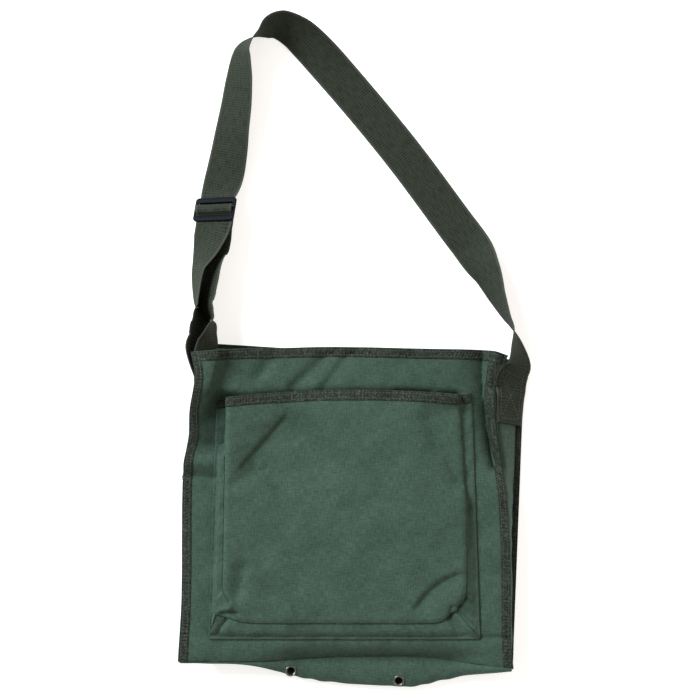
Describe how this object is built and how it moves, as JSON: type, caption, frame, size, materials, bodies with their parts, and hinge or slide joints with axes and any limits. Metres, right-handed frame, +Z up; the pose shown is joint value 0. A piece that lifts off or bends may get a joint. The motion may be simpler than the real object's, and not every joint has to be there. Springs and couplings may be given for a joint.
{
  "type": "fishing bag",
  "caption": "Soft cloth shoulder bag lying on its back, open at the mouth, with a bellows front pocket, a long webbing strap with a slider, and eyelets in its bottom.",
  "frame": {"origin": "on the surface the bag lies on, under the centre of its bounding box", "axes": "+X to the right as seen from above, +Y from the bag toward the strap, +Z up, out of the front panel"},
  "size_m": [0.3772, 0.7273, 0.0527],
  "materials": {
    "cloth": "matte woven dark green cloth",
    "webbing": "matte ribbed olive webbing",
    "plastic": "satin black moulded plastic",
    "eyelet": "bright plated metal"
  },
  "bodies": {
    "root": {"front_panel": "cloth", "back_panel": "cloth", "bottom_panel": "cloth", "left_gusset": "cloth", "right_gusset": "cloth", "pocket_face": "cloth", "pocket_left_side": "cloth", "pocket_right_side": "cloth", "pocket_bottom_side": "cloth", "shoulder_strap": "webbing", "ring_tab": "webbing", "strap_slider": "plastic", "strap_ring": "plastic", "eyelet_left": "eyelet", "eyelet_right": "eyelet"}
  },
  "joints": []
}
